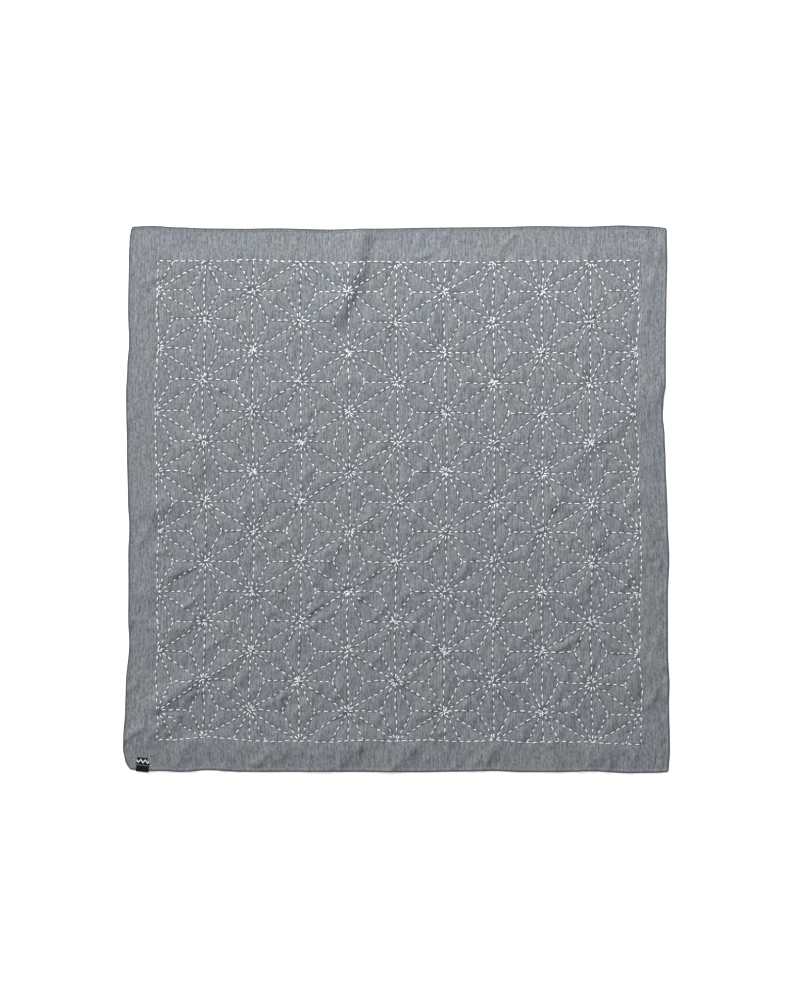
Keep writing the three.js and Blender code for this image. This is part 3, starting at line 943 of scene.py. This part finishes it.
def fromNetLines(u, v):  # how far a flat place is from the net, found by folding it into a half cell
    pitch = net["columnPitch"]
    half = net["halfRowPitch"]
    across = u.math("PINGPONG", u - net["left"], pitch)
    down = v.math("PINGPONG", net["top"] - v, half)
    slant = u.math("ABSOLUTE", (across * half + (down - half) * pitch) * (1 / math.hypot(half, pitch)))
    hearts = u.math("MINIMUM", fromHeartLines(across, down), fromHeartLines(pitch - across, half - down))
    return u.math("MINIMUM", hearts, slant)


def chambrayMaterial():
    look = {
        "warp": (0.078, 0.09, 0.1085, 1),
        "weft": (0.322, 0.336, 0.356, 1),
        "cool": (0.985, 0.997, 1.02, 1),
        "warm": (1.018, 1.006, 0.98, 1),
        "streakSize": (0.62, 0.23, 1),  # lumps to the millimetre along u and v
        "slubSize": (0.7, 0.05, 1),
        "crossingSize": (0.3, 0.8, 1),
        "patchSize": (0.022, 0.012, 1),
        "streaks": 0.84,
        "slubs": 0.82,
        "crossings": 0.55,
        "threadPitch": 0.8,
        "weave": 0.12,
        "grooveReach": (0.3, 1.7),
        "netEdge": (-1.2, 1.2),
        "edgeReach": (0.9, 2.4),
        # painted shade: how much darker the cloth is painted beside the stitch lines
        "paintedGrooveShade": 0.36,
        "grooveDepth": 0.5,
        # painted shade: how much darker the cloth is painted along its rim
        "paintedEdgeShade": 0.75,
        "middleShade": 0.44,
        "bumpDepth": 0.0005,  # metres
    }
    material, shader, start = newMaterial("chambray", {"Roughness": 0.92, "Sheen Weight": 0.12})
    flat, u, v = flatPlace(start)
    fromMiddleU = start.math("ABSOLUTE", u)
    fromMiddleV = start.math("ABSOLUTE", v)
    outsideU = start.math("ABSOLUTE", u - netMiddleU) - netHalfWidth
    outsideV = start.math("ABSOLUTE", v - netMiddleV) - netHalfLength
    outside = start.math("MAXIMUM", outsideU, outsideV)
    fromStitches = start.math("MINIMUM", fromNetLines(u, v), start.math("ABSOLUTE", outside))
    groove = (1 - fromStitches.ranged(*look["grooveReach"])) * (1 - outside.ranged(*look["netEdge"]))
    inset = start.math("MINIMUM", halfWidth - fromMiddleU, halfLength - fromMiddleV)
    edge = 1 - inset.ranged(*look["edgeReach"])

    streak = flat.noise(look["streakSize"], 1.0, 0.5)
    slub = flat.noise(look["slubSize"], 1.0, 0.5)
    crossing = flat.noise(look["crossingSize"], 1.0, 0.5)
    patch = flat.noise(look["patchSize"], 2.0, 0.55)
    turn = 2 * math.pi / look["threadPitch"]
    weave = start.math("SINE", u * turn) * start.math("SINE", v * turn) * look["weave"]
    shade = look["middleShade"] + (streak - 0.5) * look["streaks"] + (slub - 0.5) * look["slubs"]
    shade = shade + (crossing - 0.5) * look["crossings"] + weave
    # painted shade: the colour is darkened beside the stitch lines and in a thin band along the cloth's rim
    shade = shade - groove * look["paintedGrooveShade"] - edge * look["paintedEdgeShade"]
    plain = shade.ranged(-0.25, 1.2).blend(look["warp"], look["weft"])
    tint = patch.ranged(0.35, 0.65).blend(look["cool"], look["warm"])
    relief = streak * 0.6 + slub * 0.5 + weave - groove * look["grooveDepth"]
    feed(shader, {"Base Color": plain.tinted(tint), "Normal": relief.bump(look["bumpDepth"], 0.5)})
    return material


def threadMaterial():
    look = {
        "dull": (0.745, 0.77, 0.81, 1),
        "bright": (0.93, 0.95, 0.975, 1),
        "strands": 3,
        "strandTurn": 0.55,  # turns to the millimetre
        "fibreSize": (2.2, 14, 1),
        "stitchSize": (0.01, 0.43, 1),
        "bumpDepth": 0.00012,  # metres
    }
    material, shader, start = newMaterial("stitch thread", {"Roughness": 0.75, "Sheen Weight": 0.2})
    flat, alongThread, aroundThread = flatPlace(start)
    turns = alongThread * look["strandTurn"] + aroundThread * look["strands"]
    strand = start.math("SINE", turns * (2 * math.pi)) * 0.5
    fibre = flat.noise(look["fibreSize"], 2.0)
    stitch = flat.noise(look["stitchSize"], 0.0)
    shade = (strand + fibre + stitch * 0.9).ranged(0.05, 1.65)
    relief = strand + fibre * 0.6
    colour = shade.blend(look["dull"], look["bright"])
    feed(shader, {"Base Color": colour, "Normal": relief.bump(look["bumpDepth"], 0.6)})
    return material


def sewingMaterial():
    look = {"dark": (0.19, 0.205, 0.23, 1), "light": (0.28, 0.29, 0.31, 1)}
    material, shader, start = newMaterial("hem thread", {"Roughness": 0.8})
    flat = flatPlace(start)[0]
    shade = flat.noise((1.5, 6, 1), 1.0).ranged(0.3, 0.7)
    feed(shader, {"Base Color": shade.blend(look["dark"], look["light"])})
    return material


def labelMaterial():
    look = {
        "black": (0.001, 0.001, 0.0012, 1),
        "worn": (0.007, 0.007, 0.008, 1),
        "line": (0.3, 0.3, 0.31, 1),
        "linePlace": 6.2,
        "zigzag": (0.8, 0.8, 0.8, 1),
        "zigzagPitch": 4.8,
        "zigzagMiddle": 10.4,
        "zigzagHeight": 1.5,
        "rib": 0.5,
        "bumpDepth": 0.0001,  # metres
    }
    material, shader, start = newMaterial("label tape", {"Roughness": 0.8, "Specular IOR Level": 0.2})
    flat, place, inward = flatPlace(start)
    wave = start.math("PINGPONG", place, look["zigzagPitch"] / 2) - look["zigzagPitch"] / 4
    fromZigzag = inward - look["zigzagMiddle"] - wave * (4 * look["zigzagHeight"] / look["zigzagPitch"])
    zigzag = 1 - start.math("ABSOLUTE", fromZigzag).ranged(0.7, 0.95)
    line = 1 - start.math("ABSOLUTE", inward - look["linePlace"]).ranged(0.22, 0.4)
    rib = start.math("SINE", inward * (2 * math.pi / look["rib"]))
    fleck = flat.noise((3, 3, 1), 2.0)
    ground = (fleck + rib * 0.12).ranged(0.2, 0.9).blend(look["black"], look["worn"])
    marked = (line * 0.6).blend(ground, look["line"])
    relief = rib * 0.4 + fleck * 0.3 + zigzag * 0.5
    colour = zigzag.blend(marked, look["zigzag"])
    feed(shader, {"Base Color": colour, "Normal": relief.bump(look["bumpDepth"], 0.6)})
    return material


dress(clothPiece, chambrayMaterial())
whiteThread = threadMaterial()
for stitchPiece in stitchPieces:
    dress(stitchPiece, whiteThread)
dress(hemSewing, sewingMaterial())
dress(labelPiece, labelMaterial())
print("materials made")


# Floor, lights and view

studio = {
    "floorHalf": 6,  # lengths here are in metres
    "floorDrop": 0.0003,
    "floorGlow": 0.55,
    "fill": 0.33,
    "lights": [  # (name, place, aimed at, size, power)
        ("key", (-3.0, 2.5, 3.0), (0, 0, 0), 0.9, 181),
        ("top", (0.12, 0.9, 0.7), (0, 0.15, 0), 0.35, 7.9),
    ],
}


def makeFloor():
    mesh = bpy.data.meshes.new("floor")
    half = studio["floorHalf"]
    low = -studio["floorDrop"]
    rim = [(-half, -half, low), (half, -half, low), (half, half, low), (-half, half, low)]
    mesh.from_pydata(rim, [], [(0, 1, 2, 3)])
    floor = bpy.data.objects.new("floor", mesh)
    bpy.context.scene.collection.objects.link(floor)
    settings = {"Roughness": 1.0, "Specular IOR Level": 0.0, "Emission Color": (1, 1, 1, 1)}
    material, shader, start = newMaterial("floor", settings | {"Emission Strength": studio["floorGlow"]})
    place = start.node("ShaderNodeTexCoord", {}, {}, "Object")
    colour = place.noise((3, 3, 1)).blend((0.94, 0.94, 0.94, 1), (0.96, 0.96, 0.96, 1))
    feed(shader, {"Base Color": colour})
    dress(floor, material)
    floor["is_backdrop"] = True


def makeLights():
    for name, place, aim, size, power in studio["lights"]:
        light = bpy.data.lights.new(name, "AREA")
        light.size = size
        light.energy = power
        lamp = bpy.data.objects.new(name, light)
        lamp.location = place
        lamp.rotation_euler = (Vector(aim) - Vector(place)).to_track_quat("-Z", "Y").to_euler()
        bpy.context.scene.collection.objects.link(lamp)
    world = bpy.data.worlds.new("studio")
    world.use_nodes = True
    world.node_tree.nodes["Background"].inputs["Color"].default_value = (1, 1, 1, 1)
    world.node_tree.nodes["Background"].inputs["Strength"].default_value = studio["fill"]
    bpy.context.scene.world = world
    bpy.context.scene.view_settings.view_transform = "Standard"


makeFloor()
makeLights()
print("floor and lights set")

boxes = {"cad": cadBox, "visual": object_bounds()}
boxes = {name: [[float(value) for value in corner] for corner in box] for name, box in boxes.items()}
